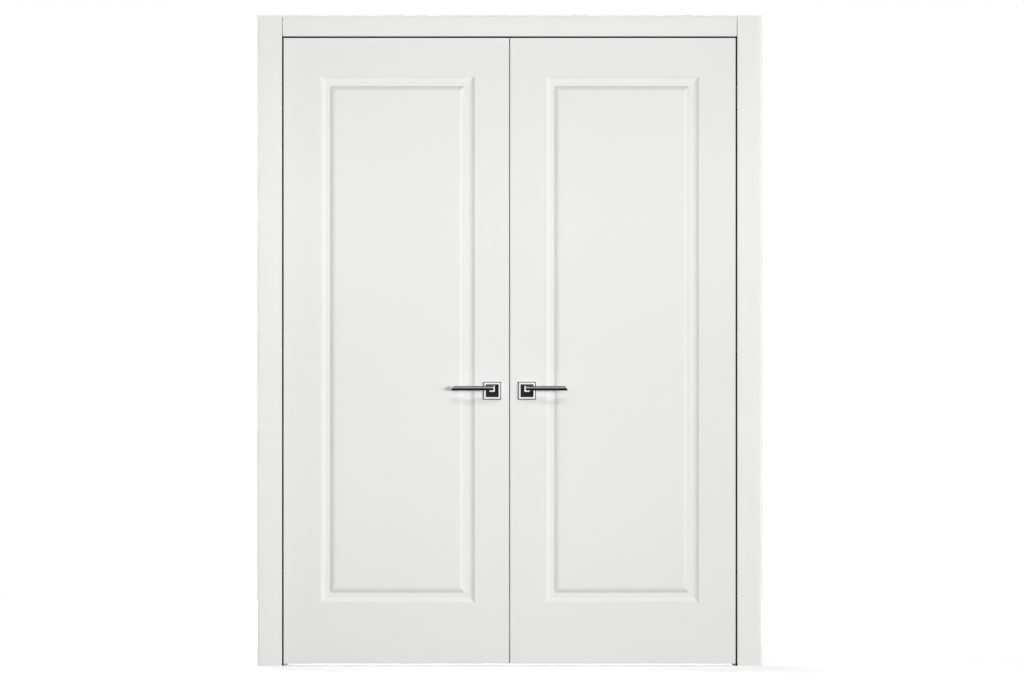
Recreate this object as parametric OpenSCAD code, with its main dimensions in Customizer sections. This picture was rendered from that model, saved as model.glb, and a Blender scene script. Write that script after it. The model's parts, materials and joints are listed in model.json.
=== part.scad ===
// Interior double door in its frame: two single-panel leaves on concealed hinges,
// lever handles, a magnetic latch on the right leaf and flush bolts on the left leaf.
// Millimetres, +Z up, +X to the right seen from the front, +Y from the front to the back.
// The origin is on the floor, at the bottom centre of the whole set.

/* [Leaves] */
// Width of one leaf
leaf_w = 732.5; // [680:0.5:900]
// Height of a leaf
leaf_h = 2032; // [1960:1:2300]
// Thickness of a leaf
leaf_t = 44; // [42:0.5:54]
// Radius of a leaf's upright edges
leaf_ease = 1.5; // [1:0.1:2]
// Plain stile from the hinge edge to the panel moulding
hinge_stile = 119; // [100:1:150]
// Plain stile from the meeting edge to the panel moulding
lock_stile = 112; // [95:1:150]
// Plain rail above the panel moulding
top_rail = 123; // [90:1:180]
// Plain rail below the panel moulding
bottom_rail = 199; // [120:1:260]

/* [Panel moulding] */
// Width of the hollow that falls from the stile
cove_w = 18; // [10:0.5:24]
// Width of the flat bottom of the groove
land_w = 14; // [6:0.5:20]
// Width of the round that rises to the panel
ovolo_w = 18; // [10:0.5:24]
// Depth of the groove
groove_d = 7; // [4:0.5:9]

/* [Gaps] */
// Gap between a hinge edge and its jamb
side_gap = 5; // [4.5:0.1:5]
// Gap between a leaf and the head jamb
head_gap = 5.5; // [3:0.1:8]
// Gap between the two leaves
meet_gap = 3; // [2.8:0.1:5]
// Gap between a leaf and the floor
floor_gap = 7; // [4:0.5:15]
// Gap between a closed leaf and the stop behind it
stop_gap = 0.6; // [0.4:0.1:3]

/* [Frame] */
// Depth of the jambs, which is the wall's thickness
wall_t = 115; // [95:1:180]
// Thickness of a jamb beside the leaf
jamb_t = 40; // [38:1:50]
// How far the stop stands out behind the leaf
stop_w = 14; // [10:0.5:20]
// Width of a side casing
casing_w = 79.5; // [60:0.5:110]
// Height of the head casing
head_casing_w = 68; // [60:1:110]
// Thickness of a casing
casing_t = 10; // [9:0.5:16]
// Radius of a casing's outer edge
casing_round = 8; // [2:0.5:8.5]
// Radius of a casing's inner edge
casing_ease = 2.5; // [1:0.5:3]
// Radius of the head casing's ends, where they meet the side casings
joint_ease = 3; // [2:0.5:6]
// Gap between the head casing and a side casing
joint_gap = 1.5; // [0.5:0.1:3]
// Distance from a casing's inner edge to its tongue
tongue_in = 30; // [29:0.5:33]
// Thickness of a casing's tongue
tongue_t = 4; // [3:0.1:5]
// Length of a casing's tongue
tongue_d = 12; // [8:0.5:20]
// Distance of the frame screws from the jamb's rear edge
fixing_in = 35; // [20:1:50]
// Radius of a frame screw hole
fixing_r = 4; // [3:0.5:5]
// Height of the lowest frame screw
fixing_low = 150; // [100:5:180]
// Distance of the highest frame screw below the head jamb
fixing_from_head = 94.5; // [60:0.5:180]

/* [Seals] */
// Thickness of a rubber seal
seal_t = 1.6; // [1:0.1:2]
// Depth of a seal's root in the wood
seal_root = 8; // [5:0.5:10]
// Free space left in front of a jamb seal's lip
lip_gap = 0.6; // [0.4:0.1:1]
// Free space left between the lips of the two meeting seals
meet_lip_gap = 0.25; // [0.2:0.05:0.6]
// Distance of a meeting seal from the back of its leaf
meet_seal_back = 9.5; // [9:0.5:11]

/* [Concealed hinges] */
// Height of a hinge cup
cup_h = 124; // [110:1:150]
// Depth of a hinge cup in the wood
cup_d = 24; // [23.5:0.5:26]
// Wall of a hinge cup round its pocket
cup_wall = 1.5; // [1:0.1:1.5]
// Height of one arm
arm_h = 29.4; // [20:0.2:32]
// Distance of a fixed pin from the middle of the gap
pin_out = 7; // [6.8:0.1:7.2]
// Distance of a fixed pin behind the turning axis
pin_back = 12; // [11.8:0.1:12.2]
// Distance of the turning axis in front of the leaf's face
axis_front = 2; // [1.8:0.1:2.4]
// Swing of a leaf from shut to fully open, in degrees
swing_max = 100; // [80:1:100]
// Radius of a hinge pin
pin_r = 2.2; // [1.8:0.1:2.4]
// Distance from the top of a leaf to the middle of its upper hinge
hinge_from_top = 193; // [140:1:260]
// Distance from the bottom of a leaf to the middle of its lower hinge
hinge_from_bottom = 253; // [160:1:320]

/* [Handles] */
// Height of the handle spindle above the floor
handle_z = 894; // [850:1:1060]
// Distance from the meeting edge to the handle spindle
backset = 55; // [50:1:70]
// Side of the square rose
rose_w = 58; // [50:1:64]
// Thickness of the rose
rose_t = 9; // [6:0.5:12]
// Slope of the rose's edge, measured across the face
rose_bevel = 2.5; // [1.5:0.5:4]
// Distance from the leaf to the back of the lever bar
lever_stand = 37; // [30:1:45]
// Thickness of the lever bar, front to back
lever_t = 13; // [10:0.5:16]
// Height of the lever bar
lever_h = 14; // [11:0.5:16]
// Height of the lever bar's lower edge above the spindle's axis
lever_up = 1; // [-7:0.5:2]
// Distance from the spindle to the lever's tip
lever_reach = 133; // [110:1:140]
// Slant of the lever's tip, from its upper edge to its lower edge
tip_slant = 9; // [4:0.5:14]
// Side of the neck's square foot at the rose
neck_base = 42; // [36:0.5:44]
// Width of the neck's flat top
neck_top = 17; // [14:0.5:20]
// Depth over which the neck narrows
neck_slope = 6; // [5:0.5:8]
// Flat left on the neck below and beside the bar
neck_ledge = 4.5; // [3:0.5:6]
// Radius of the round shank inside the rose
shank_r = 9; // [8:0.25:10]
// Side of the square spindle
spindle_w = 8; // [7:0.5:9]

/* [Lock and bolts] */
// Thickness of the lock case
lock_t = 15; // [14:0.5:18]
// Height of the lock case above the spindle
lock_above = 60; // [50:1:70]
// Depth of the lock case below the spindle
lock_below = 50; // [25:1:60]
// Depth of the lock case behind the spindle
lock_back = 22; // [16:1:30]
// Height of the lock's front plate
plate_h = 196; // [160:2:220]
// Width of a front plate
plate_w = 18; // [17:0.5:22]
// Thickness of a front plate
plate_t = 3; // [2:0.5:4]
// Height of the latch above the spindle
latch_up = 33; // [30:1:38]
// Height of the latch
latch_h = 22; // [16:1:26]
// Thickness of the latch
latch_t = 11; // [8:0.5:12]
// Length of the latch
latch_len = 46; // [30:1:50]
// Travel of the latch
latch_travel = 12; // [10:0.5:14]
// Height of the strike plate
strike_h = 90; // [60:2:120]
// Radius of a flush bolt's rod
rod_r = 4; // [3:0.25:5]
// Travel of a flush bolt
bolt_travel = 16; // [12:0.5:20]
// Height of a flush bolt's case
bolt_case_h = 140; // [110:1:180]
// Depth of a flush bolt's case
bolt_case_d = 15; // [14:0.5:18]

/* [Clearances] */
// Running clearance round pins, shanks and rods
run_fit = 0.06; // [0.03:0.01:0.1]
// Clearance between faces that slide or swing past each other
free_gap = 0.3; // [0.2:0.05:0.5]
// Clearance round a piece that is let into the wood
let_in = 0.15; // [0.1:0.05:0.3]

/* [Hidden] */
$fn = 64;
eps = 0.5;
SIDES = ["left", "right"];
LEVELS = ["top", "middle", "bottom"];

// Openings of the frame
opening_w = 2 * leaf_w + 2 * side_gap + meet_gap;
opening_h = floor_gap + leaf_h + head_gap;
frame_h = opening_h + head_casing_w;
jamb_h = opening_h + jamb_t;

// Depths, front to back
lever_front = lever_stand + lever_t;
back_reach = max(wall_t + casing_t, leaf_t + lever_front);
face_y = -(back_reach - lever_front) / 2;
leaf_mid_y = face_y + leaf_t / 2;
leaf_back_y = face_y + leaf_t;
stop_y = leaf_back_y + stop_gap;
jamb_back_y = face_y + wall_t;

// Places across and up
wall_x = opening_w / 2;
meet_x = meet_gap / 2;
hinge_edge_x = meet_x + leaf_w;
gap_mid_x = hinge_edge_x + side_gap / 2;
leaf_bottom = floor_gap;
leaf_top = floor_gap + leaf_h;
handle_x = meet_x + backset;
hinge_low = leaf_bottom + hinge_from_bottom;
hinge_high = leaf_top - hinge_from_top;
hinge_z = [hinge_high, (hinge_high + hinge_low) / 2, hinge_low];
fixing_step = (opening_h - fixing_from_head - fixing_low) / 3;
fixing_z = [for (i = [0:3]) fixing_low + i * fixing_step];

// Moulding: a cove and an ovolo of the same depth as the groove
moulding_w = cove_w + land_w + ovolo_w;
panel_w = leaf_w - hinge_stile - lock_stile;
panel_h = leaf_h - top_rail - bottom_rail;
function arc_r(w, d) = (w * w + d * d) / (2 * d);

// Concealed hinge, seen from above: x from the middle of the gap, y back from the leaf's face.
// The two fixed pins, the middle pin and the turning axis are the corners of a rhombus, so
// each arm swings through the same angle as the leaf and the axis stays where it is.
pin_y = pin_back - axis_front;
mid_pin_y = 2 * pin_back - axis_front;
link_r = norm([pin_out, pin_back]);
knuckle_r = 4;
bar_half = 3.2;
bar_behind = 8;
arm_bar_y = mid_pin_y + bar_behind;
roller_x = 16;
roller_r = 2.4;
roller_h = 3;
pocket_room = 1.5;
bar_room = 0.8;
pocket_front = pin_y - knuckle_r - pocket_room;
pocket_back = arm_bar_y + bar_half + bar_room;
shelf_half = 1;
shelf_in = 2;
arm_low = shelf_half + free_gap;
arm_high = arm_low + arm_h;
pocket_half = arm_high + free_gap;
slot_h = roller_h + free_gap;
cup_front = pocket_front - cup_wall;
cup_w = pocket_back - pocket_front + 2 * cup_wall;
screw_in = 12;
screw_z = cup_h / 2 - screw_in;
screw_r = 2.5;
screw_head_r = 4.5;
screw_sink = 2.6;
plate_screw_r = 2;
plate_screw_head_r = 4;
plate_screw_in = 10;

// Lock and bolts
latch_z = handle_z + latch_up;
bolt_x = meet_x + bolt_case_d / 2;
bolt_case_w = plate_w;
bolt_inset = 12;
bolt_end = 1;
rod_foot = 10;
rod_len = bolt_inset + bolt_case_h - bolt_end - rod_foot - bolt_travel;
knob_r = 3;
knob_in = 1;
keeper_play = 1;
strike_play = 1;
magnet_t = 4;
magnet_gap = 3;
latch_nose = 5;
keeper_len = 3 * plate_w;
follower_r = 10;
lock_plate_up = (lock_above - lock_below) / 2;
knob_z = -bolt_inset - bolt_case_h / 2;
strike_depth = latch_travel - meet_gap + magnet_gap;

// Handles
spindle_deep = 13;
spindle_play = 1;
spindle_hole_r = spindle_w;
rose_fall = 1.4;
shank_gap = 0.5;
ridge_share = 0.52;
under_share = 0.46;
brow_share = 0.06;
bar_edge = 2;
bar_edge_fall = 1.7;
bar_root = neck_top / 2 - neck_ledge;
bar_top = lever_up + lever_h;

// Seals
side_lip = side_gap - lip_gap;
head_lip = head_gap - lip_gap;
meet_lip = (meet_gap - meet_lip_gap) / 2;
notch_half = pocket_half + slot_h + 1;

white = "white";
wood_white = "gainsboro";

// Everything is drawn on the left and mirrored for the right
module on_side(side) {
    mirror([side == "right" ? 1 : 0, 0, 0]) children();
}

// A countersunk hole through a plate, from z = 0 upwards
module plate_screw_hole() {
    translate([0, 0, -eps]) cylinder(r = plate_screw_r, h = plate_t + 2 * eps);
    cylinder(r1 = plate_screw_head_r, r2 = plate_screw_r, h = plate_screw_head_r - plate_screw_r);
}

// A pair of them in an upright plate that lies from x = 0 towards -X
module plate_screw_pair(h) {
    for (s = [-1, 1]) translate([0, 0, s * (h / 2 - plate_screw_in)]) rotate([0, -90, 0]) plate_screw_hole();
}

// A block between two corners
module block(a, b) {
    translate(a) cube(b - a);
}

// A plate with round ends in the Y-Z plane, from x = 0 towards -X
module round_plate(w, h, t) {
    rotate([0, -90, 0]) linear_extrude(t) {
        square([h - w, w], center = true);
        for (s = [-1, 1]) translate([s * (h - w) / 2, 0]) circle(d = w);
    }
}

// Casing section: inner edge at x = 0, face at y = 0, growing towards -X and +Y
module casing_section(w) {
    difference() {
        union() {
            translate([-w, 0]) square([w, casing_t]);
            translate([-tongue_in - tongue_t, casing_t - eps]) square([tongue_t, tongue_d + eps]);
        }
        edge_round(-w, 1, casing_round);
        edge_round(0, -1, casing_ease);
    }
}

// What is taken off a casing's front corner at x to round it
module edge_round(x, dir, r) {
    difference() {
        translate([x - (dir < 0 ? r : eps), -eps]) square([r + eps, r + eps]);
        translate([x + dir * r, r]) circle(r);
    }
}

// A side casing that stands on the floor
module side_casing() {
    color(white) difference() {
        translate([-wall_x, face_y - casing_t, 0]) linear_extrude(frame_h) casing_section(casing_w);
        // The tongue ends where the side jamb ends
        block([-wall_x - casing_w, face_y, jamb_h], [-wall_x + eps, face_y + tongue_d + eps, frame_h + eps]);
    }
}

// The head casing between the two side casings, with its ends eased
module head_casing() {
    end_x = wall_x - joint_gap;
    color(white) difference() {
        translate([-end_x, face_y - casing_t, opening_h]) rotate([0, 90, 0])
            linear_extrude(2 * end_x) casing_section(head_casing_w);
        for (s = [-1, 1]) translate([0, face_y - casing_t, opening_h - eps])
            linear_extrude(head_casing_w + 2 * eps) edge_round(s * end_x, -s, joint_ease);
    }
}

// Turns a front casing round to the back of the jambs
module to_back() {
    translate([0, face_y + jamb_back_y, 0]) mirror([0, 1, 0]) children();
}

// Jambs

module side_jamb() {
    outer = -wall_x - jamb_t;
    color(wood_white) difference() {
        union() {
            block([outer, face_y, 0], [-wall_x, jamb_back_y, jamb_h]);
            block([-wall_x - eps, stop_y, 0], [-wall_x + stop_w, jamb_back_y, opening_h - stop_w]);
        }
        tongue_slots(outer);
        translate([-wall_x - seal_root - let_in, face_y - eps, -eps])
            cube([seal_root + let_in + eps, seal_t + eps, opening_h - head_lip + eps]);
        for (z = hinge_z) translate([-gap_mid_x, face_y, z]) cup_shape(let_in, eps);
        for (z = fixing_z) translate([outer - eps, jamb_back_y - fixing_in, z])
            rotate([0, 90, 0]) cylinder(r = fixing_r, h = jamb_t + stop_w + 2 * eps);
    }
}

// Slots in a side jamb for the tongues of both casings
module tongue_slots(outer) {
    slot_x = -wall_x - tongue_in - tongue_t - let_in;
    slot = [tongue_t + 2 * let_in, tongue_d + let_in + eps, jamb_h + 2 * eps];
    translate([slot_x, face_y - eps, -eps]) cube(slot);
    translate([slot_x, jamb_back_y - tongue_d - let_in, -eps]) cube(slot);
}

module head_jamb() {
    slot_z = opening_h + tongue_in - let_in;
    slot = [opening_w + 2 * eps, tongue_d + let_in + eps, tongue_t + 2 * let_in];
    color(wood_white) difference() {
        union() {
            block([-wall_x, face_y, opening_h], [wall_x, jamb_back_y, jamb_h]);
            block([-wall_x, stop_y, opening_h - stop_w], [wall_x, jamb_back_y, opening_h + eps]);
        }
        translate([-wall_x - eps, face_y - eps, slot_z]) cube(slot);
        translate([-wall_x - eps, jamb_back_y - tongue_d - let_in, slot_z]) cube(slot);
        translate([-wall_x - eps, face_y - eps, opening_h - eps])
            cube([opening_w + 2 * eps, seal_t + eps, seal_root + let_in + eps]);
        keeper_place() {
            keeper_plate(let_in);
            cylinder(r = rod_r + keeper_play, h = bolt_travel);
        }
    }
}

// Seals

module side_seal() {
    color("dimgray") difference() {
        block([-wall_x - seal_root, face_y, 0], [-wall_x + side_lip, face_y + seal_t, opening_h - head_lip]);
        // The lip is notched where the hinge arms swing out
        for (z = hinge_z) translate([-wall_x, face_y - eps, z - notch_half])
            cube([side_lip + eps, seal_t + 2 * eps, 2 * notch_half]);
    }
}

module head_seal() {
    color("dimgray")
        block([-wall_x, face_y, opening_h - head_lip], [wall_x, face_y + seal_t, opening_h + seal_root]);
}

// A strip near the back of a leaf's meeting edge, which darkens the gap between the leaves
module meeting_seal() {
    color("dimgray") meeting_strip(meet_lip, 0, 0);
}

// The strip, or with some play and a longer run the kerf that it sits in
module meeting_strip(lip, play, longer) {
    back = leaf_back_y - meet_seal_back;
    block([-meet_x - seal_root - play, back - seal_t - play, leaf_bottom - longer],
          [-meet_x + lip, back + play, leaf_top + longer]);
}

// Concealed hinge, drawn about the middle of the gap

// A cup's outside, or with some play and a mouth that is cut past the surface its mortise
module cup_shape(play, mouth) {
    translate([-side_gap / 2 + mouth, cup_front + cup_w / 2, 0])
        round_plate(cup_w + 2 * play, cup_h + 2 * play, cup_d + play + mouth);
}

// The arc slot that the far roller of the other arm runs along
module roller_slot(z, h) {
    half = roller_r + free_gap;
    ends = asin(half / link_r);
    from = atan2(pin_back, pin_out) - swing_max - ends;
    translate([-pin_out - roller_x, pin_y + arm_bar_y - mid_pin_y, z]) rotate(from)
        rotate_extrude(angle = swing_max + 2 * ends) translate([link_r - half, 0]) square([2 * half, h]);
}

module frame_cup() {
    back = -side_gap / 2 - cup_d;
    color("silver") difference() {
        union() {
            difference() {
                cup_shape(0, 0);
                block([back + cup_wall, pocket_front, -pocket_half], [0, pocket_back, pocket_half]);
            }
            // Shelf between the two arms, which holds the pin's lower end
            block([back + eps, pocket_front - eps, -shelf_half],
                  [-side_gap / 2 - shelf_in, pocket_back + eps, shelf_half]);
            translate([-pin_out, pin_y, -shelf_half]) cylinder(r = pin_r, h = pocket_half + 2 * shelf_half);
        }
        roller_slot(-pocket_half - slot_h, slot_h + eps);
        for (s = [-1, 1]) translate([-side_gap / 2, cup_front + cup_w / 2, s * screw_z]) rotate([0, -90, 0]) {
            translate([0, 0, -eps]) cylinder(r = screw_r, h = cup_d + 2 * eps);
            cylinder(r1 = screw_head_r, r2 = screw_r, h = screw_sink);
        }
    }
}

// The leaf's cup is the frame's cup turned about
module leaf_cup() {
    mirror([1, 0, 0]) mirror([0, 0, 1]) frame_cup();
}

// Outline of the frame's arm with the leaf shut: it bows back from the fixed pin,
// crosses the gap at the middle pin and ends in the roller
module arm_outline() {
    translate([-pin_out, pin_y]) circle(knuckle_r);
    translate([-pin_out - bar_half, pin_y]) square([2 * bar_half, arm_bar_y - pin_y]);
    translate([-pin_out, arm_bar_y]) circle(bar_half);
    translate([-pin_out, arm_bar_y - bar_half]) square([pin_out + roller_x, 2 * bar_half]);
    translate([roller_x, arm_bar_y]) circle(bar_half);
    translate([0, mid_pin_y]) circle(knuckle_r);
    translate([-pin_out, mid_pin_y]) square([pin_out + knuckle_r, arm_bar_y - mid_pin_y]);
}

// An arm's plate with the hole for its fixed pin and the roller at its far end
module arm_plate() {
    difference() {
        translate([0, 0, arm_low]) linear_extrude(arm_h) arm_outline();
        translate([-pin_out, pin_y, arm_low - eps]) cylinder(r = pin_r + run_fit, h = arm_h + 2 * eps);
    }
    translate([roller_x, arm_bar_y, arm_high - eps]) cylinder(r = roller_r, h = roller_h + eps);
}

// The frame's arm carries the middle pin
module frame_arm() {
    color("darkgray") {
        arm_plate();
        translate([0, mid_pin_y, -arm_high]) cylinder(r = pin_r, h = arm_high + arm_low + eps);
    }
}

module leaf_arm() {
    color("darkgray") difference() {
        mirror([1, 0, 0]) mirror([0, 0, 1]) arm_plate();
        translate([0, mid_pin_y, -arm_high - eps]) cylinder(r = pin_r + run_fit, h = arm_h + 2 * eps);
    }
}

// Leaves

// Section of the moulding's groove: x inwards from the stile, y out of the face
module groove_section() {
    cove_r = arc_r(cove_w, groove_d);
    ovolo_r = arc_r(ovolo_w, groove_d);
    difference() {
        translate([0, -groove_d]) square([moulding_w, groove_d + eps]);
        translate([moulding_w, -ovolo_r]) circle(ovolo_r, $fn = 128);
        difference() {
            translate([-eps, -groove_d - eps]) square([cove_w + eps, groove_d + eps]);
            translate([cove_w, cove_r - groove_d]) circle(cove_r, $fn = 128);
        }
    }
}

// One side of the groove, mitred at both ends, along +X from the corner with the panel at +Y
module groove_side(len) {
    intersection() {
        rotate([90, 0, 90]) linear_extrude(len) groove_section();
        translate([0, 0, -groove_d - eps]) linear_extrude(groove_d + 3 * eps)
            polygon([[0, 0], [len, 0], [len - moulding_w, moulding_w], [moulding_w, moulding_w]]);
    }
}

// The whole groove in the plane of a face at z = 0, with its lower left corner at the origin
module groove_loop(w, h) {
    groove_side(w);
    translate([w, 0, 0]) rotate(90) groove_side(h);
    translate([w, h, 0]) rotate(180) groove_side(w);
    translate([0, h, 0]) rotate(-90) groove_side(h);
}

// A leaf seen from above, with eased corners: x from the hinge edge, the back at y = 0
module leaf_section() {
    difference() {
        translate([0, -leaf_t]) square([leaf_w, leaf_t]);
        for (m = [0, 1]) translate([0, -m * leaf_t]) mirror([0, 1 - m]) {
            edge_round(0, 1, leaf_ease);
            edge_round(leaf_w, -1, leaf_ease);
        }
    }
}

// A blank leaf on the left with both panels, the hinge mortises, the seal's kerf and the spindle's hole
module leaf_blank() {
    panel_x = -hinge_edge_x + hinge_stile;
    panel_z = leaf_bottom + bottom_rail;
    difference() {
        translate([-hinge_edge_x, leaf_back_y, leaf_bottom]) linear_extrude(leaf_h) leaf_section();
        translate([panel_x, face_y, panel_z]) rotate([90, 0, 0]) groove_loop(panel_w, panel_h);
        translate([panel_x + panel_w, leaf_back_y, panel_z]) rotate([90, 0, 180])
            groove_loop(panel_w, panel_h);
        for (z = hinge_z) translate([-gap_mid_x, face_y, z]) mirror([1, 0, 0]) cup_shape(let_in, eps);
        meeting_strip(eps, let_in, eps);
        translate([-handle_x, face_y - eps, handle_z]) rotate([-90, 0, 0])
            cylinder(r = spindle_hole_r, h = leaf_t + 2 * eps);
    }
}

// The left leaf stays shut: it takes the strike and both flush bolts
module left_leaf() {
    color(white) difference() {
        leaf_blank();
        translate([-meet_x, leaf_mid_y, latch_z]) {
            translate([eps, 0, 0]) round_plate(plate_w + 2 * let_in, strike_h + 2 * let_in, plate_t + eps);
            strike_hole(plate_t + strike_depth + magnet_t);
        }
        bolt_place(1) bolt_cut();
        bolt_place(-1) bolt_cut();
    }
}

// The right leaf opens first: it takes the lock
module right_leaf() {
    color(white) difference() {
        on_side("right") leaf_blank();
        translate([meet_x, leaf_mid_y, handle_z]) {
            translate([-eps, 0, lock_plate_up]) mirror([1, 0, 0])
                round_plate(plate_w + 2 * let_in, plate_h + 2 * let_in, plate_t + eps);
            block([0, -lock_t / 2 - let_in, -lock_below - let_in],
                  [backset + lock_back + let_in, lock_t / 2 + let_in, lock_above + let_in]);
        }
    }
}

// Strike, magnet and latch

// The latch's way into the strike, from x = -depth out past the leaf's edge
module strike_hole(depth) {
    half = [latch_t / 2 + strike_play, latch_h / 2 + strike_play];
    block([-depth, -half.x, -half.y], [eps, half.x, half.y]);
}

module strike_plate() {
    color("silver") translate([-meet_x, leaf_mid_y, latch_z]) difference() {
        round_plate(plate_w, strike_h, plate_t);
        strike_hole(plate_t + eps);
        plate_screw_pair(strike_h);
    }
}

module strike_magnet() {
    size = [magnet_t, latch_t + 2 * (strike_play - let_in), latch_h + 2 * (strike_play - let_in)];
    color("black") translate([-meet_x - plate_t - strike_depth - magnet_t / 2, leaf_mid_y, latch_z])
        cube(size, center = true);
}

// The lock's case with its front plate, a bearing for the follower and a channel for the latch
module lock_case() {
    color("silver") translate([meet_x, leaf_mid_y, handle_z]) difference() {
        union() {
            translate([0, 0, lock_plate_up]) mirror([1, 0, 0]) round_plate(plate_w, plate_h, plate_t);
            block([plate_t - eps, -lock_t / 2, -lock_below], [backset + lock_back, lock_t / 2, lock_above]);
        }
        translate([backset, -lock_t / 2 - eps, 0]) rotate([-90, 0, 0])
            cylinder(r = follower_r + run_fit, h = lock_t + 2 * eps);
        translate([0, 0, lock_plate_up]) mirror([1, 0, 0]) plate_screw_pair(plate_h);
        block([-eps, -latch_t / 2 - free_gap, latch_up - latch_h / 2 - free_gap],
              [latch_len + free_gap, latch_t / 2 + free_gap, latch_up + latch_h / 2 + free_gap]);
    }
}

module lock_follower() {
    color("goldenrod") translate([handle_x, leaf_mid_y - lock_t / 2, handle_z]) rotate([-90, 0, 0])
        difference() {
            cylinder(r = follower_r, h = lock_t);
            cube([spindle_w + 2 * run_fit, spindle_w + 2 * run_fit, 3 * lock_t], center = true);
        }
}

// The latch lies drawn in at rest, with a slanted nose
module latch_bolt() {
    color("silver") translate([meet_x, leaf_mid_y, latch_z - latch_h / 2]) linear_extrude(latch_h)
        polygon([[0, -latch_t / 2 + latch_nose], [latch_nose, -latch_t / 2], [latch_len, -latch_t / 2],
                 [latch_len, latch_t / 2], [0, latch_t / 2]]);
}

// Flush bolts, drawn for the top with z = 0 at the leaf's end, and turned over for the bottom

module bolt_place(dir) {
    translate([-bolt_x, leaf_mid_y, dir > 0 ? leaf_top : leaf_bottom])
        mirror([0, 0, dir > 0 ? 0 : 1]) children();
}

module bolt_cut() {
    edge = bolt_x - meet_x;
    translate([edge + eps, 0, knob_z])
        round_plate(bolt_case_w + 2 * let_in, bolt_case_h + 2 * let_in, bolt_case_d + let_in + eps);
    translate([0, 0, -bolt_inset - bolt_case_w])
        cylinder(r = rod_r + free_gap, h = bolt_inset + bolt_case_w + eps);
}

module bolt_case() {
    edge = bolt_x - meet_x;
    color("silver") difference() {
        translate([edge, 0, knob_z]) round_plate(bolt_case_w, bolt_case_h, bolt_case_d);
        translate([0, 0, knob_z - bolt_case_h / 2 + rod_foot]) cylinder(r = rod_r + run_fit, h = bolt_case_h);
        block([0, -knob_r - free_gap, knob_z - knob_r - free_gap],
              [edge + eps, knob_r + free_gap, knob_z + knob_r + bolt_travel + free_gap]);
    }
}

module bolt_rod() {
    edge = bolt_x - meet_x;
    color("silver") {
        translate([0, 0, -bolt_end - rod_len]) cylinder(r = rod_r, h = rod_len);
        translate([0, 0, knob_z]) rotate([0, 90, 0]) cylinder(r = knob_r, h = edge - knob_in);
    }
}

// The keeper in the head jamb that the upper bolt shoots into
module keeper_place() {
    translate([-bolt_x, leaf_mid_y, opening_h]) children();
}

module keeper_plate(play) {
    below = play > 0 ? eps : 0;
    span = keeper_len - plate_w;
    translate([0, 0, -below]) linear_extrude(plate_t + below) {
        square([span, plate_w + 2 * play], center = true);
        for (s = [-1, 1]) translate([s * span / 2, 0]) circle(d = plate_w + 2 * play);
    }
}

module head_keeper() {
    color("silver") keeper_place() difference() {
        keeper_plate(0);
        translate([0, 0, -eps]) cylinder(r = rod_r + keeper_play, h = plate_t + 2 * eps);
        for (s = [-1, 1]) translate([s * (keeper_len / 2 - plate_screw_in), 0, 0]) plate_screw_hole();
    }
}

// Handles, drawn for the left leaf's front about the spindle's axis, with y = 0 on the leaf

module handle_place(face) {
    translate([-handle_x, face == "front" ? face_y : leaf_back_y, handle_z])
        mirror([0, face == "front" ? 0 : 1, 0]) children();
}

// Seen from the side or from above: straight sides below a face with sloping edges
module rose_outline() {
    half = rose_w / 2;
    face = half - rose_bevel;
    side = rose_t - rose_fall;
    polygon([[-half, 0], [half, 0], [half, -side], [face, -rose_t], [-face, -rose_t], [-half, -side]]);
}

module rose() {
    color("silver") difference() {
        intersection() {
            linear_extrude(rose_w, center = true) rose_outline();
            rotate([0, 90, 0]) linear_extrude(rose_w, center = true) rose_outline();
        }
        rotate([90, 0, 0]) translate([0, 0, -eps]) cylinder(r = shank_r + run_fit, h = rose_t + 2 * eps);
    }
}

// The neck narrows from a square foot to a flat top: seen from above and from the side
module neck_foot() {
    foot = neck_base / 2;
    top = neck_top / 2;
    intersection() {
        linear_extrude(neck_base, center = true)
            polygon([[-foot, 0], [foot, 0], [top, -neck_slope], [-top, -neck_slope]]);
        rotate([90, 0, 90]) linear_extrude(neck_base, center = true)
            polygon([[0, -foot], [0, foot], [-neck_slope, bar_top], [-neck_slope, lever_up - neck_ledge]]);
    }
}

module lever() {
    neck_y = -rose_t - free_gap;
    hole = spindle_w + 2 * run_fit;
    color("silver") difference() {
        union() {
            translate([0, neck_y, 0]) neck_foot();
            block([-neck_top / 2, -lever_stand - eps, lever_up],
                  [bar_root, neck_y - neck_slope + eps, bar_top]);
            lever_bar();
            rotate([90, 0, 0]) translate([0, 0, shank_gap])
                cylinder(r = shank_r, h = rose_t - shank_gap + free_gap + eps);
        }
        block([-hole / 2, -spindle_deep, -hole / 2], [hole / 2, eps, hole / 2]);
    }
}

// The bar: a flat back, a ridge along its front with a steep face below it, a narrow bevel on the
// upper edge and a slanted tip with the lower edge longer
module lever_bar() {
    back = -lever_stand;
    front = back - lever_t;
    brow = front + brow_share * lever_t;
    difference() {
        translate([-lever_reach, 0, 0]) rotate([90, 0, 90]) linear_extrude(lever_reach + bar_root)
            polygon([[back, lever_up], [back, bar_top], [brow + bar_edge_fall, bar_top],
                     [brow, bar_top - bar_edge], [front, lever_up + ridge_share * lever_h],
                     [front + under_share * lever_t, lever_up]]);
        translate([-lever_reach, back + eps, lever_up]) rotate([90, 0, 0]) linear_extrude(lever_t + 2 * eps)
            polygon([[-eps, -eps], [0, 0], [tip_slant, lever_h],
                     [tip_slant, lever_h + eps], [-eps, lever_h + eps]]);
    }
}

module spindle() {
    reach = spindle_deep - spindle_play;
    color("dimgray") translate([-handle_x - spindle_w / 2, face_y - reach, handle_z - spindle_w / 2])
        cube([spindle_w, leaf_t + 2 * reach, spindle_w]);
}

// Drawing

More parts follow.
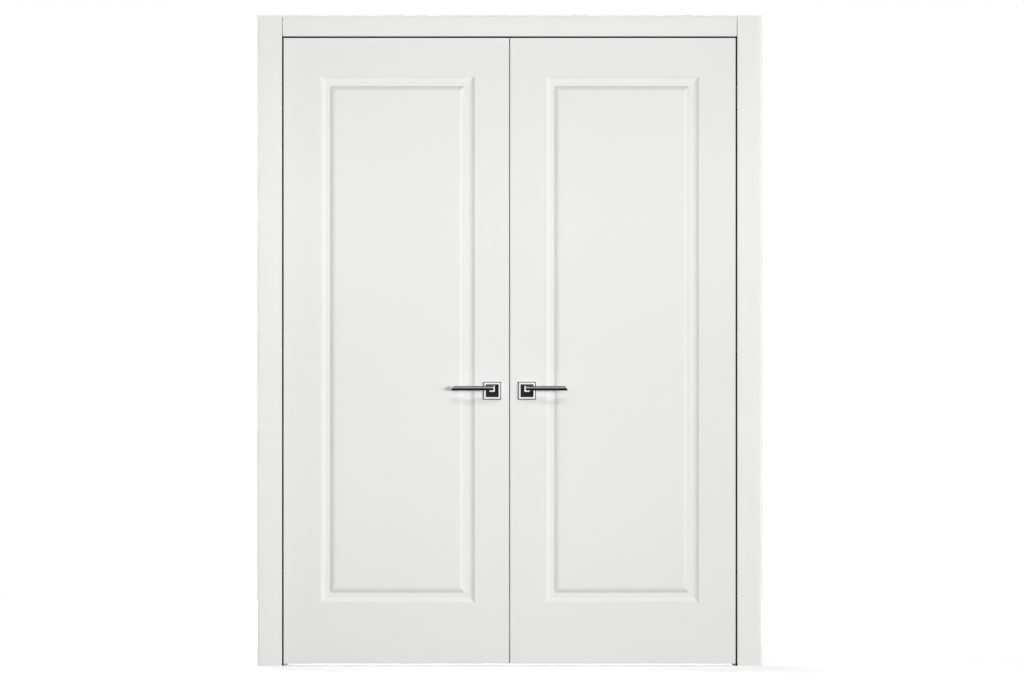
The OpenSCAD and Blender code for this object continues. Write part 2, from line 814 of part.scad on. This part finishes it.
side_jamb();  // left_jamb
on_side("right") side_jamb();  // right_jamb
head_jamb();
side_casing();  // left_front_casing
on_side("right") side_casing();  // right_front_casing
head_casing();  // head_front_casing
to_back() side_casing();  // left_rear_casing
to_back() on_side("right") side_casing();  // right_rear_casing
to_back() head_casing();  // head_rear_casing
side_seal();  // left_seal
on_side("right") side_seal();  // right_seal
head_seal();
head_keeper();
left_leaf();
right_leaf();
meeting_seal();
on_side("right") meeting_seal();  // right_meeting_seal
lock_case();
latch_bolt();
lock_follower();
strike_plate();
strike_magnet();
bolt_place(1) bolt_case();  // top_bolt_case
bolt_place(1) bolt_rod();  // top_bolt_rod
bolt_place(-1) bolt_case();  // bottom_bolt_case
bolt_place(-1) bolt_rod();  // bottom_bolt_rod
for (s = SIDES) {
    on_side(s) handle_place("front") rose();
    on_side(s) handle_place("rear") rose();
    on_side(s) handle_place("front") lever();
    on_side(s) handle_place("rear") lever();
    on_side(s) spindle();
    for (i = [0:2]) {
        hinge = str(s, "_", LEVELS[i], "_");
        place = [-gap_mid_x, face_y, hinge_z[i]];
        on_side(s) translate(place) frame_cup();
        on_side(s) translate(place) leaf_cup();
        on_side(s) translate(place) frame_arm();
        on_side(s) translate(place) leaf_arm();
    }
}
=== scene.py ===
# %% [markdown]
# # A white double door in its frame
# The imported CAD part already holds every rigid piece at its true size: jambs, casings, leaves,
# hinges, handles, lock and bolts. This lesson dresses it. Each surface gets the finish that the
# real material has, small screws and rubber pads are added, and a plain studio is built round
# the door.

# %% Load the part
import json
import math

import bpy
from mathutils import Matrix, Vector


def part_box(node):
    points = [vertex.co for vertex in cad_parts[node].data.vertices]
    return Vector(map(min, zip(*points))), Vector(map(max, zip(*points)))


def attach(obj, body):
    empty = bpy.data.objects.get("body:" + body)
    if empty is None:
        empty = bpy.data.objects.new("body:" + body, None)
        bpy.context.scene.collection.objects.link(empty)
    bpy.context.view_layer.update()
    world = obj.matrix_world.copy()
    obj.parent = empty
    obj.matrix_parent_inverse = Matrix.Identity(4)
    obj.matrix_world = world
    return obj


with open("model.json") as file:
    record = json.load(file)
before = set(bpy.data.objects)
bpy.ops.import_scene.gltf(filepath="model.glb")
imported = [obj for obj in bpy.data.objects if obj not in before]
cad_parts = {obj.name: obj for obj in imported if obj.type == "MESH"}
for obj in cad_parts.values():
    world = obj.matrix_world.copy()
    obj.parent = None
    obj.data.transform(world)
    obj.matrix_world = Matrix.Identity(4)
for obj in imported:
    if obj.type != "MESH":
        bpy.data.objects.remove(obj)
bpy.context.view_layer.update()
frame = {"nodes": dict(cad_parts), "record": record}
nodes = frame["nodes"]

# %% [markdown]
# ## Helpers for finishes
# Every finish is a small node tree. One function adds a node, sets its own values and links what
# feeds it. A few short ones call it for the nodes that come up again and again, so that each tree
# below reads from top to bottom. Colours are written as the sRGB hex values that a paint card
# gives, and one function turns them into the linear values that light is added up in. Patterns
# are sized in millimetres: the Object coordinate is in metres here.

# %% Helpers for finishes
MM_IN_M = 1000.0
WHITE = (1, 1, 1, 1)


def linear(code):
    """An sRGB hex code such as #EFEFEE as linear red, green, blue and full cover."""
    shares = [int(code[i:i + 2], 16) / 255 for i in (1, 3, 5)]
    return [s / 12.92 if s <= 0.04045 else ((s + 0.055) / 1.055) ** 2.4 for s in shares] + [1.0]


def add(tree, kind, feeds=None, **settings):
    """Adds a node with its own settings; feeds sets each socket to a value or links an output."""
    node = tree.nodes.new(kind)
    for name, value in settings.items():
        setattr(node, name, value)
    for key, value in (feeds or {}).items():
        if isinstance(value, bpy.types.NodeSocket):
            tree.links.new(value, node.inputs[key])
        else:
            node.inputs[key].default_value = value
    return node


def noise(tree, place, size_mm, detail):
    """Noise that repeats about every size_mm millimetres, from 0 to 1."""
    feeds = {"Vector": place, "Scale": MM_IN_M / size_mm, "Detail": detail}
    return add(tree, "ShaderNodeTexNoise", feeds).outputs["Fac"]


def span(tree, value, low, high):
    """A value from 0 to 1, stretched to run from low to high."""
    feeds = {"Value": value, "To Min": low, "To Max": high}
    return add(tree, "ShaderNodeMapRange", feeds).outputs["Result"]


def blend(tree, value, dark, light):
    """A colour that wanders between two hex codes as a value goes from 0 to 1."""
    feeds = {"Factor": value, "A": linear(dark), "B": linear(light)}
    return add(tree, "ShaderNodeMix", feeds, data_type="RGBA").outputs["Result"]


def bump(tree, height, strength, depth_mm):
    """A normal that follows a height pattern of a depth in millimetres."""
    feeds = {"Height": height, "Strength": strength, "Distance": depth_mm / MM_IN_M}
    return add(tree, "ShaderNodeBump", feeds).outputs["Normal"]


def squeezed(tree, place, scale):
    """A place whose axes are scaled, which draws a pattern out along the small ones."""
    return add(tree, "ShaderNodeMapping", {"Vector": place, "Scale": scale}).outputs["Vector"]


def new_finish(name, values):
    """A material with a Principled shader: the material, its tree, the shader, the Object place."""
    material = bpy.data.materials.new(name)
    material.use_nodes = True
    tree = material.node_tree
    tree.nodes.clear()
    shader = add(tree, "ShaderNodeBsdfPrincipled", values)
    add(tree, "ShaderNodeOutputMaterial", {"Surface": shader.outputs["BSDF"]})
    place = add(tree, "ShaderNodeTexCoord").outputs["Object"]
    return material, tree, shader, place


def drive(tree, shader, outputs):
    """Links each output to the shader's socket of that name."""
    for socket, output in outputs.items():
        tree.links.new(output, shader.inputs[socket])


print("helpers ready")

# %% [markdown]
# ## Satin white lacquer
# The leaves, jambs and casings are fibreboard, sprayed with white lacquer. Spraying leaves a very
# faint orange peel, and a sheen that wanders a little from place to place. A single flat white
# would look like paper, so a slow noise moves the tint and the roughness, and a fine one gives
# the peel. The real peel is about 2 mm across; it is drawn at 7 mm so that it shows at all. The
# casings get a copy of the lacquer a shade lighter: painted light, for the brighter light that
# falls on them.

# %% Satin white lacquer
def sprayed_lacquer(name, dark, light):
    """White lacquer whose tint drifts between two values, with a soft sheen and a faint peel."""
    material, tree, shader, place = new_finish(name, {"IOR": 1.5})
    drift = noise(tree, place, 420, 2.0)
    peel = noise(tree, place, 7, 1.0)
    drive(tree, shader, {
        "Base Color": blend(tree, drift, dark, light),
        "Roughness": span(tree, drift, 0.44, 0.52),
        "Normal": bump(tree, peel, 0.05, 0.4),
    })
    return material


lacquer = sprayed_lacquer("satin_white_lacquer", "#EDEDEC", "#F0F0EF")
# The casings' copy is a few steps lighter than the leaves': painted light, for the brighter light on the
# casings.
casing_lacquer_painted_light = sprayed_lacquer("satin_white_lacquer_painted_light_casings", "#F2F2F1", "#F5F5F4")
print("lacquers", lacquer.name, casing_lacquer_painted_light.name)

# %% [markdown]
# ## Polished chrome
# Levers and roses are cast zinc, buffed and chromed. Chrome is a mirror with a cool tint that
# takes back about a sixth of the light. Buffing leaves hair lines along the bar, far under a
# millimetre wide; they are drawn 1.5 mm apart and only touch the roughness.

# %% Polished chrome
ALONG_THE_BAR = (0.06, 1.0, 1.0)
chrome_values = {"Metallic": 1.0, "Base Color": linear("#EBECED")}
chrome, tree, shader, place = new_finish("polished_chrome", chrome_values)
hair = noise(tree, squeezed(tree, place, ALONG_THE_BAR), 1.5, 2.0)
drive(tree, shader, {"Roughness": span(tree, hair, 0.03, 0.1)})
print("chrome nodes", len(tree.nodes))

# %% [markdown]
# ## Black coated hinge metal
# The hinge cups and arms are cast zinc with a black satin coat. The casting's grain still shows
# through the coat as a fine pebble of about 1.2 mm.

# %% Black coated hinge metal
hinge_coat, tree, shader, place = new_finish("black_coated_zinc", {"IOR": 1.5})
grain = noise(tree, place, 1.2, 3.0)
drive(tree, shader, {
    "Base Color": blend(tree, grain, "#2A2A2B", "#383839"),
    "Roughness": span(tree, grain, 0.38, 0.55),
    "Normal": bump(tree, grain, 0.25, 0.2),
})
print("hinge coat nodes", len(tree.nodes))

# %% [markdown]
# ## Satin stainless steel
# Front plates, bolts and the latch are stainless steel, ground along their length. The lines are
# about 0.3 mm wide on the real plates. They are drawn 1 mm wide and stretched upwards, and they
# move the tone, the roughness and a little bump.

# %% Satin stainless steel
UPRIGHT = (1.0, 1.0, 0.03)
steel, tree, shader, place = new_finish("satin_stainless_steel", {"Metallic": 1.0})
lines = noise(tree, squeezed(tree, place, UPRIGHT), 1.0, 3.0)
drive(tree, shader, {
    "Base Color": blend(tree, lines, "#B4B4B2", "#CDCDCB"),
    "Roughness": span(tree, lines, 0.22, 0.4),
    "Normal": bump(tree, lines, 0.08, 0.1),
})
print("steel nodes", len(tree.nodes))

# %% [markdown]
# ## Seal rubber, brass and magnet
# The seals are extruded black rubber, dull and very slightly mottled with talc. The lock's
# follower is turned brass with a warm, soft gloss. The magnet is pressed ferrite, a dark grey
# ceramic with a dry surface.

# %% Seal rubber, brass and magnet
def mottled_finish(name, dark, light, size_mm, rough, values=None):
    """A finish whose tint and roughness wander between two values with grains of one size."""
    material, tree, shader, place = new_finish(name, values)
    grains = noise(tree, place, size_mm, 3.0)
    drive(tree, shader, {
        "Base Color": blend(tree, grains, dark, light),
        "Roughness": span(tree, grains, *rough),
    })
    return material


dull_rubber = {"IOR": 1.5, "Specular IOR Level": 0.12}
rubber = mottled_finish("black_seal_rubber", "#0C0C0C", "#141414", 3.0, (0.65, 0.85), dull_rubber)
brass = mottled_finish("turned_brass", "#B08D4A", "#C4A05A", 2.0, (0.25, 0.4), {"Metallic": 1.0})
ferrite = mottled_finish("pressed_ferrite", "#2E2E30", "#3C3C3E", 1.0, (0.55, 0.75), {"IOR": 1.6})
print("finishes", [m.name for m in (rubber, brass, ferrite)])

# %% [markdown]
# ## Dress the CAD pieces
# The imported record says which material slot each piece belongs to. That list is the safest guide
# to which finish goes where, so the finishes are handed out by slot and no name is typed twice.
# Only the casings differ: they share the slot of the leaves and take the lacquer copy that is
# painted a shade lighter, as painted light.

# %% Dress the CAD pieces
finish_of_slot = {
    "white_lacquer": lacquer,
    "polished_chrome": chrome,
    "hinge_metal": hinge_coat,
    "satin_steel": steel,
    "seal_rubber": rubber,
    "brass": brass,
    "magnet": ferrite,
}
for part in frame["record"]["subparts"]:
    is_casing = part["node"].endswith("_casing")
    # The casings take the lighter copy of the lacquer, which is painted light.
    finish = casing_lacquer_painted_light if is_casing else finish_of_slot[part["material_slot"]]
    piece = nodes[part["node"]]
    piece.data.materials.clear()
    piece.data.materials.append(finish)

# %% [markdown]
# ## Pieces that repeat
# Screws are all alike, and so are pads, so Geometry Nodes trees make them. A tree stands one shape
# on every point of a small point cloud, and can turn it to face along the point's own direction.
# The result is made a plain mesh for each body, because the leaves carry their own screws along
# when they swing.

# %% Pieces that repeat
def new_object(name, data):
    """An object that holds some data, linked to the scene."""
    holder = bpy.data.objects.new(name, data)
    bpy.context.scene.collection.objects.link(holder)
    return holder


def new_group(name, inputs):
    """A tree that takes and gives geometry, with a finish and more inputs, and what it is given."""
    tree = bpy.data.node_groups.new(name, "GeometryNodeTree")
    tree.interface.new_socket("Geometry", in_out="INPUT", socket_type="NodeSocketGeometry")
    for socket, kind in inputs.items():
        tree.interface.new_socket(socket, in_out="INPUT", socket_type=kind)
    tree.interface.new_socket("Finish", in_out="INPUT", socket_type="NodeSocketMaterial")
    tree.interface.new_socket("Geometry", in_out="OUTPUT", socket_type="NodeSocketGeometry")
    return tree, add(tree, "NodeGroupInput").outputs


def close_group(tree, given, shape, turned=None):
    """Ends a tree: the shape on each point, made real and given its finish."""
    feeds = {"Points": given["Geometry"], "Instance": shape}
    if turned:
        feeds["Rotation"] = turned
    placed = add(tree, "GeometryNodeInstanceOnPoints", feeds)
    real = add(tree, "GeometryNodeRealizeInstances", {"Geometry": placed.outputs["Instances"]})
    dressed = add(tree, "GeometryNodeSetMaterial", {"Geometry": real.outputs["Geometry"],
                                                    "Material": given["Finish"]})
    add(tree, "NodeGroupOutput", {"Geometry": dressed.outputs["Geometry"]})


def stand_on_points(name, body, points, tree, values, slot):
    """A plain mesh of what a tree stands on the points, riding on a body."""
    cloud = bpy.data.meshes.new(name + "_points")
    cloud.from_pydata([place for place, direction in points], [], [])
    facing = cloud.attributes.new("facing", "FLOAT_VECTOR", "POINT")
    facing.data.foreach_set("vector", [c for place, direction in points for c in direction])
    carrier = new_object(name + "_points", cloud)
    modifier = carrier.modifiers.new("stand", "NODES")
    modifier.node_group = tree
    given = dict(values, Finish=finish_of_slot[slot])
    for item in tree.interface.items_tree:
        if item.in_out == "INPUT" and item.name in given:
            modifier[item.identifier] = given[item.name]
    bpy.context.view_layer.update()
    evaluated = carrier.evaluated_get(bpy.context.evaluated_depsgraph_get())
    mesh = bpy.data.meshes.new_from_object(evaluated)
    bpy.data.objects.remove(carrier)
    piece = new_object(name, mesh)
    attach(piece, body)
    print(name, len(mesh.polygons), "faces")


print("ready to stand pieces on points")

# %% [markdown]
# ## Countersunk screws
# Each hinge cup and each plate is held by a countersunk screw at either end, with a cross recess.
# The tree cuts the cross out of a cone with two crossed bars, and lowers the head until its top is
# level with the point that it stands on.

# %% A tree that makes screws
HEAD_SIDES = 24
SCREW_SIZES = ("Head Radius", "Shank Radius", "Head Height",
               "Recess Length", "Recess Width", "Recess Depth")


def cut(tree, shape, cutter):
    """The shape without the cutter."""
    feeds = {"Mesh 1": shape, "Mesh 2": cutter}
    return add(tree, "GeometryNodeMeshBoolean", feeds, operation="DIFFERENCE").outputs["Mesh"]


def raised(tree, shape, height):
    """The shape, moved up by a height."""
    shift = add(tree, "ShaderNodeCombineXYZ", {"Z": height}).outputs["Vector"]
    feeds = {"Geometry": shape, "Translation": shift}
    return add(tree, "GeometryNodeTransform", feeds).outputs["Geometry"]


def times(tree, value, factor):
    """A value times a fixed factor."""
    return add(tree, "ShaderNodeMath", {0: value, 1: factor}, operation="MULTIPLY").outputs["Value"]


def screw_tree():
    """Heads with a cross recess on the points of the mesh that carries the tree."""
    tree, given = new_group("countersunk_screws", {name: "NodeSocketFloat" for name in SCREW_SIZES})
    head = add(tree, "GeometryNodeMeshCone", {"Vertices": HEAD_SIDES, "Radius Top": given["Head Radius"],
                                              "Radius Bottom": given["Shank Radius"],
                                              "Depth": given["Head Height"]}).outputs["Mesh"]
    depth = times(tree, given["Recess Depth"], 2.0)
    for long_way, short_way in (("Recess Length", "Recess Width"), ("Recess Width", "Recess Length")):
        size = add(tree, "ShaderNodeCombineXYZ", {"X": given[long_way], "Y": given[short_way], "Z": depth})
        bar = add(tree, "GeometryNodeMeshCube", {"Size": size.outputs["Vector"]})
        head = cut(tree, head, raised(tree, bar.outputs["Mesh"], given["Head Height"]))
    flush = raised(tree, head, times(tree, given["Head Height"], -1.0))
    facing = add(tree, "GeometryNodeInputNamedAttribute", {"Name": "facing"}, data_type="FLOAT_VECTOR")
    turn = add(tree, "FunctionNodeAlignRotationToVector", {"Vector": facing.outputs["Attribute"]}, axis="Z")
    close_group(tree, given, flush, turn.outputs["Rotation"])
    return tree


screws = screw_tree()
print("screw tree nodes", len(screws.nodes))

# %% [markdown]
# ## Place the screws
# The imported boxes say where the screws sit: 12 mm in from each end of a hinge cup and 10 mm in from
# each end of a plate, in the middle of the width, on the face that looks into the gap. Heads are
# 8.6 mm across in the cups and 7.6 mm in the plates. They sit 0.1 mm under the surface, as a
# driven screw does.

# %% Place the screws
LEVELS = ("top", "middle", "bottom")
SUNK = 0.0001
CUP_INSET = 0.012
PLATE_INSET = 0.010
# Head radius, head height and slot
CUP_SCREW = (0.0043, 0.0024, "hinge_metal")
PLATE_SCREW = (0.0038, 0.0019, "satin_steel")
# Shares of the head's radius, and of its height for the depth
SHANK_SHARE = 0.5
RECESS_LENGTH_SHARE = 1.15
RECESS_WIDTH_SHARE = 0.26
RECESS_DEPTH_SHARE = 0.5


def end_points(node, inset, outwards):
    """Places and directions of the two screws in an upright piece that faces along X."""
    low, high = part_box(node)
    x = (high[0] if outwards > 0 else low[0]) - outwards * SUNK
    middle = (low[1] + high[1]) / 2
    return [((x, middle, z), (outwards, 0, 0)) for z in (low[2] + inset, high[2] - inset)]


def cup_points(side, kind):
    """Places and directions of the screws in one side's cups of a kind."""
    outwards = (1 if side == "left" else -1) * (1 if kind == "frame_cup" else -1)
    found = []
    for level in LEVELS:
        found += end_points(f"{side}_{level}_{kind}", CUP_INSET, outwards)
    return found


def keeper_points():
    """Places and directions of the two screws in the keeper, which faces down."""
    low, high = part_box("head_keeper")
    middle = (low[1] + high[1]) / 2
    ends = (low[0] + PLATE_INSET, high[0] - PLATE_INSET)
    return [((x, middle, low[2] + SUNK), (0, 0, -1)) for x in ends]


def make_screws(name, body, points, head_radius, head_height, slot):
    """Screws of one size at the points, riding on a body."""
    sizes = {
        "Head Radius": head_radius,
        "Shank Radius": head_radius * SHANK_SHARE,
        "Head Height": head_height,
        "Recess Length": head_radius * RECESS_LENGTH_SHARE,
        "Recess Width": head_radius * RECESS_WIDTH_SHARE,
        "Recess Depth": head_height * RECESS_DEPTH_SHARE,
    }
    stand_on_points(name, body, points, screws, sizes, slot)


frame_cups = cup_points("left", "frame_cup") + cup_points("right", "frame_cup")
make_screws("frame_hinge_screws", "frame", frame_cups, *CUP_SCREW)
make_screws("left_hinge_screws", "left_leaf", cup_points("left", "leaf_cup"), *CUP_SCREW)
make_screws("right_hinge_screws", "right_leaf", cup_points("right", "leaf_cup"), *CUP_SCREW)
make_screws("lock_plate_screws", "right_leaf", end_points("lock_case", PLATE_INSET, -1), *PLATE_SCREW)
make_screws("strike_plate_screws", "left_leaf", end_points("strike_plate", PLATE_INSET, 1), *PLATE_SCREW)
make_screws("keeper_screws", "frame", keeper_points(), *PLATE_SCREW)

# %% [markdown]
# ## Dark rubber pads on the stop
# The side seals are notched where the hinge arms swing out, and the white stop would shine through
# the ends of each notch. A small black rubber pad stands there on the stop, above and below the arms
# of every hinge, as painted shade: it darkens the gap there. It is half a millimetre thick, so the
# closed leaf nearly touches it.

# %% Dark rubber pads on the stop
PAD_SIZE = (0.0118, 0.0005, 0.011)
PAD_EDGE = 0.0001
NOTCH_HALF = 0.035
SIDE_GAP = 0.005
STOP_GAP = 0.0006


def gap_darkening_pad_tree():
    """Flat pads on the points of the mesh that carries the tree."""
    tree, given = new_group("stop_darkening_pads", {"Size": "NodeSocketVector"})
    pad = add(tree, "GeometryNodeMeshCube", {"Size": given["Size"]})
    close_group(tree, given, pad.outputs["Mesh"])
    return tree


def pad_points(side):
    """Places and directions of one side's pads, on the stop behind both ends of each notch."""
    low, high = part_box(side + "_leaf")
    outwards = -1 if side == "left" else 1
    leaf_edge = low[0] if side == "left" else high[0]
    x = leaf_edge + outwards * (SIDE_GAP - PAD_EDGE - PAD_SIZE[0] / 2)
    y = high[1] + STOP_GAP - PAD_SIZE[1] / 2
    found = []
    for level in LEVELS:
        cup_low, cup_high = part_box(f"{side}_{level}_frame_cup")
        centre = (cup_low[2] + cup_high[2]) / 2
        found += [((x, y, centre + end * NOTCH_HALF), (0, -1, 0)) for end in (-1, 1)]
    return found


all_pads = pad_points("left") + pad_points("right")
# Black pads behind the notch ends: painted shade, darkening the gap.
stand_on_points("stop_darkening_pads", "frame", all_pads, gap_darkening_pad_tree(), {"Size": PAD_SIZE}, "seal_rubber")

# %% [markdown]
# ## Floor and white surroundings
# The door is shown on plain white. The floor is a large pale sheet: seen straight it is lifted to
# white, less so near the door, where it still takes the door's shadow. For the light that it
# throws back it counts as grey, or it would light the lower rails from below. The world is white
# to the eye and in reflections, and much softer as a light, so that pale lacquer doesn't wash out.

# %% Floor and white surroundings
FLOOR_SIDE = 9
FLOOR_FRONT = -12
FLOOR_BACK = 5
# The glow's strength near the door and away from it, and the distances between which it changes
GLOW_NEAR = 0.4
GLOW_AWAY = 0.95
FADE_FROM = 0.6
FADE_TO = 1.8
# The fade is wider than deep, as the door is
WIDER_THAN_DEEP = (0.6, 1.0, 1.0)
WORLD_AS_LIGHT = 0.06
WORLD_SEEN = 1.0


def new_sheet(name, corners, finish):
    """A flat four-sided sheet with a finish."""
    mesh = bpy.data.meshes.new(name)
    mesh.from_pydata(corners, [], [(0, 1, 2, 3)])
    mesh.materials.append(finish)
    return new_object(name, mesh)


def larger(tree, one, other):
    """The larger of two values."""
    return add(tree, "ShaderNodeMath", {0: one, 1: other}, operation="MAXIMUM").outputs["Value"]


def seen_rays(tree):
    """1 for rays from the camera, from mirrors and from glass, and 0 for scattered light."""
    path = add(tree, "ShaderNodeLightPath").outputs
    mirrored = larger(tree, path["Is Camera Ray"], path["Is Glossy Ray"])
    return larger(tree, mirrored, path["Is Transmission Ray"])


paper = bpy.data.materials.new("white_paper_floor")
paper.use_nodes = True
tree = paper.node_tree
tree.nodes.clear()
matte = add(tree, "ShaderNodeBsdfDiffuse", {"Color": linear("#F4F4F4")})
dim = add(tree, "ShaderNodeBsdfDiffuse", {"Color": linear("#A0A0A0")})
place = add(tree, "ShaderNodeTexCoord").outputs["Object"]
narrow = squeezed(tree, place, WIDER_THAN_DEEP)
away = add(tree, "ShaderNodeVectorMath", {0: narrow}, operation="LENGTH")
lift = add(tree, "ShaderNodeMapRange", {"Value": away.outputs["Value"], "From Min": FADE_FROM,
                                        "From Max": FADE_TO, "To Min": GLOW_NEAR, "To Max": GLOW_AWAY})
glow = add(tree, "ShaderNodeEmission", {"Color": WHITE, "Strength": lift.outputs["Result"]})
both = add(tree, "ShaderNodeAddShader", {0: matte.outputs["BSDF"], 1: glow.outputs["Emission"]})
either = add(tree, "ShaderNodeMixShader", {0: seen_rays(tree), 1: dim.outputs["BSDF"],
                                           2: both.outputs["Shader"]})
add(tree, "ShaderNodeOutputMaterial", {"Surface": either.outputs["Shader"]})
floor = new_sheet("floor", [(-FLOOR_SIDE, FLOOR_FRONT, 0), (FLOOR_SIDE, FLOOR_FRONT, 0),
                            (FLOOR_SIDE, FLOOR_BACK, 0), (-FLOOR_SIDE, FLOOR_BACK, 0)], paper)

world = bpy.data.worlds.new("white_surroundings")
bpy.context.scene.world = world
world.use_nodes = True
tree = world.node_tree
tree.nodes.clear()
level = span(tree, seen_rays(tree), WORLD_AS_LIGHT, WORLD_SEEN)
sky = add(tree, "ShaderNodeBackground", {"Color": WHITE, "Strength": level})
add(tree, "ShaderNodeOutputWorld", {"Surface": sky.outputs["Background"]})
print("floor and world made")

# %% [markdown]
# ## Lights
# The photograph's mouldings are bright where they face right. By the lower rail they are bright
# where they face up, by the upper rail where they face down. So the main light stands far to the
# right, and a second one close in front, a little above the middle of the door. A high and a low
# one in front even out the door's foot and head. The outer edges of the casings fade into the
# white, so long lights stand beside and over the door, just behind the plane of the leaves, where
# they reach the edges alone. One light behind the door shows its back in other views.

# %% Lights
def soft_box(name, at, target, width, height, watts, spread=180):
    """An area light that looks from one place at another, with a beam of spread degrees."""
    lamp = bpy.data.lights.new(name, "AREA")
    lamp.shape = "RECTANGLE"
    lamp.size = width
    lamp.size_y = height
    lamp.energy = watts
    lamp.spread = math.radians(spread)
    holder = new_object(name, lamp)
    holder.location = at
    away = [t - a for a, t in zip(at, target)]
    flat = math.hypot(away[0], away[1])
    holder.rotation_euler = (math.atan2(flat, -away[2]), 0.0, math.atan2(-away[0], away[1]))
    return holder


lamps = [
    soft_box("key_soft_box", (12.5, -21.7, 1.8), (0.0, 0.0, 1.1), 9.0, 3.5, 3250),
    soft_box("front_soft_box", (-0.3, -2.6, 1.3), (-0.3, 0.0, 1.3), 3.0, 0.5, 19),
    soft_box("high_soft_box", (0.0, -2.2, 3.0), (0.0, 0.0, 0.1), 3.0, 0.4, 3.5, 50),
    soft_box("low_soft_box", (0.0, -2.2, 0.6), (0.0, 0.0, 2.2), 3.0, 0.4, 2.4, 50),
    soft_box("left_edge_soft_box", (-3.0, 0.05, 1.1), (0.0, 0.05, 1.1), 0.1, 2.4, 2.4, 30),
    soft_box("right_edge_soft_box", (3.0, 0.05, 1.1), (0.0, 0.05, 1.1), 0.1, 2.4, 1.5, 30),
    soft_box("top_edge_soft_box", (0.0, 0.3, 4.3), (0.0, 0.0, 2.1), 2.4, 0.1, 2.5, 30),
    soft_box("back_soft_box", (-2.0, 5.0, 2.2), (0.0, 0.0, 1.1), 2.0, 2.0, 230),
]
print("lamps", [lamp.data.energy for lamp in lamps])

# %% [markdown]
# ## Flags for the chrome
# Chrome only shows its shape where it mirrors something dark. A photographer stands black cards
# beside a shiny piece, lays one before it and hangs one over it. A near-black board, high in front,
# glows faintly though it is no lamp: a painted reflection that gives the upper facets of the bars
# their middle grey. These cards are seen by reflections alone, so they neither shade the door nor
# stand in the picture.

# %% Flags for the chrome
CARD_SIDE = 2.4
SIDE_REACH = 2.6
SIDE_HEIGHT = 2.6
CEILING = 4.0
FLOOR_REACH = 2.2
FLOOR_LIFT = 0.004
BOARD_Y = -4.0
BOARD_FROM = 1.6
BOARD_TO = 2.9
BOARD_GLOW = 0.34


def flag(name, corners, finish):
    """A card that only mirrors see."""
    card = new_sheet(name, corners, finish)
    card.visible_camera = False
    card.visible_diffuse = False
    card.visible_shadow = False


def level_corners(front, back, z):
    """Corners of a level card as wide as the space between the side flags."""
    return [(-CARD_SIDE, front, z), (CARD_SIDE, front, z), (CARD_SIDE, back, z), (-CARD_SIDE, back, z)]


card_black = mottled_finish("black_card", "#101010", "#161616", 40.0, (0.9, 1.0))
for side, x in (("left", -CARD_SIDE), ("right", CARD_SIDE)):
    flag("side_flag_" + side, [(x, -SIDE_REACH, 0), (x, SIDE_REACH, 0),
                               (x, SIDE_REACH, SIDE_HEIGHT), (x, -SIDE_REACH, SIDE_HEIGHT)], card_black)
flag("ceiling_flag", level_corners(-SIDE_REACH, 0.0, CEILING), card_black)
flag("floor_flag", level_corners(-FLOOR_REACH, FLOOR_REACH, FLOOR_LIFT), card_black)
# The board is near black and glows faintly; in the bars this is a painted reflection of middle grey.
board_values = {"Base Color": linear("#101010"), "Emission Color": WHITE, "Emission Strength": BOARD_GLOW}
glowing_board_finish = new_finish("faintly_glowing_board", board_values)[0]
flag("front_board", [(-CARD_SIDE, BOARD_Y, BOARD_FROM), (CARD_SIDE, BOARD_Y, BOARD_FROM),
                     (CARD_SIDE, BOARD_Y, BOARD_TO), (-CARD_SIDE, BOARD_Y, BOARD_TO)], glowing_board_finish)
print("flags stand", CARD_SIDE, "m to either side")

# %% [markdown]
# ## Camera
# The photograph looks straight at the door from far away: both casings keep their width and no
# side of a jamb shows. A long lens from 20 m gives that. The picture is 1024 pixels wide at
# 3.246 mm each on the casings' faces, which sets the lens.

# %% Camera
PICTURE_PX = 1024
MM_PER_PX = 3.246
CAMERA_AWAY = 20.0
CAMERA_X = 0.0078
CAMERA_Z = 1.0537
casing_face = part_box("left_front_casing")[0][1]
lens = bpy.data.cameras.new("long_lens")
lens.sensor_fit = "HORIZONTAL"
lens.sensor_width = 36.0
lens.lens = lens.sensor_width * CAMERA_AWAY / (PICTURE_PX * MM_PER_PX / MM_IN_M)
lens.clip_end = 200.0
camera = new_object("camera", lens)
camera.location = (CAMERA_X, casing_face - CAMERA_AWAY, CAMERA_Z)
camera.rotation_euler = (math.pi / 2, 0.0, 0.0)
bpy.context.scene.camera = camera
bpy.context.scene.view_settings.view_transform = "Standard"
print("lens", round(lens.lens, 1), "mm")
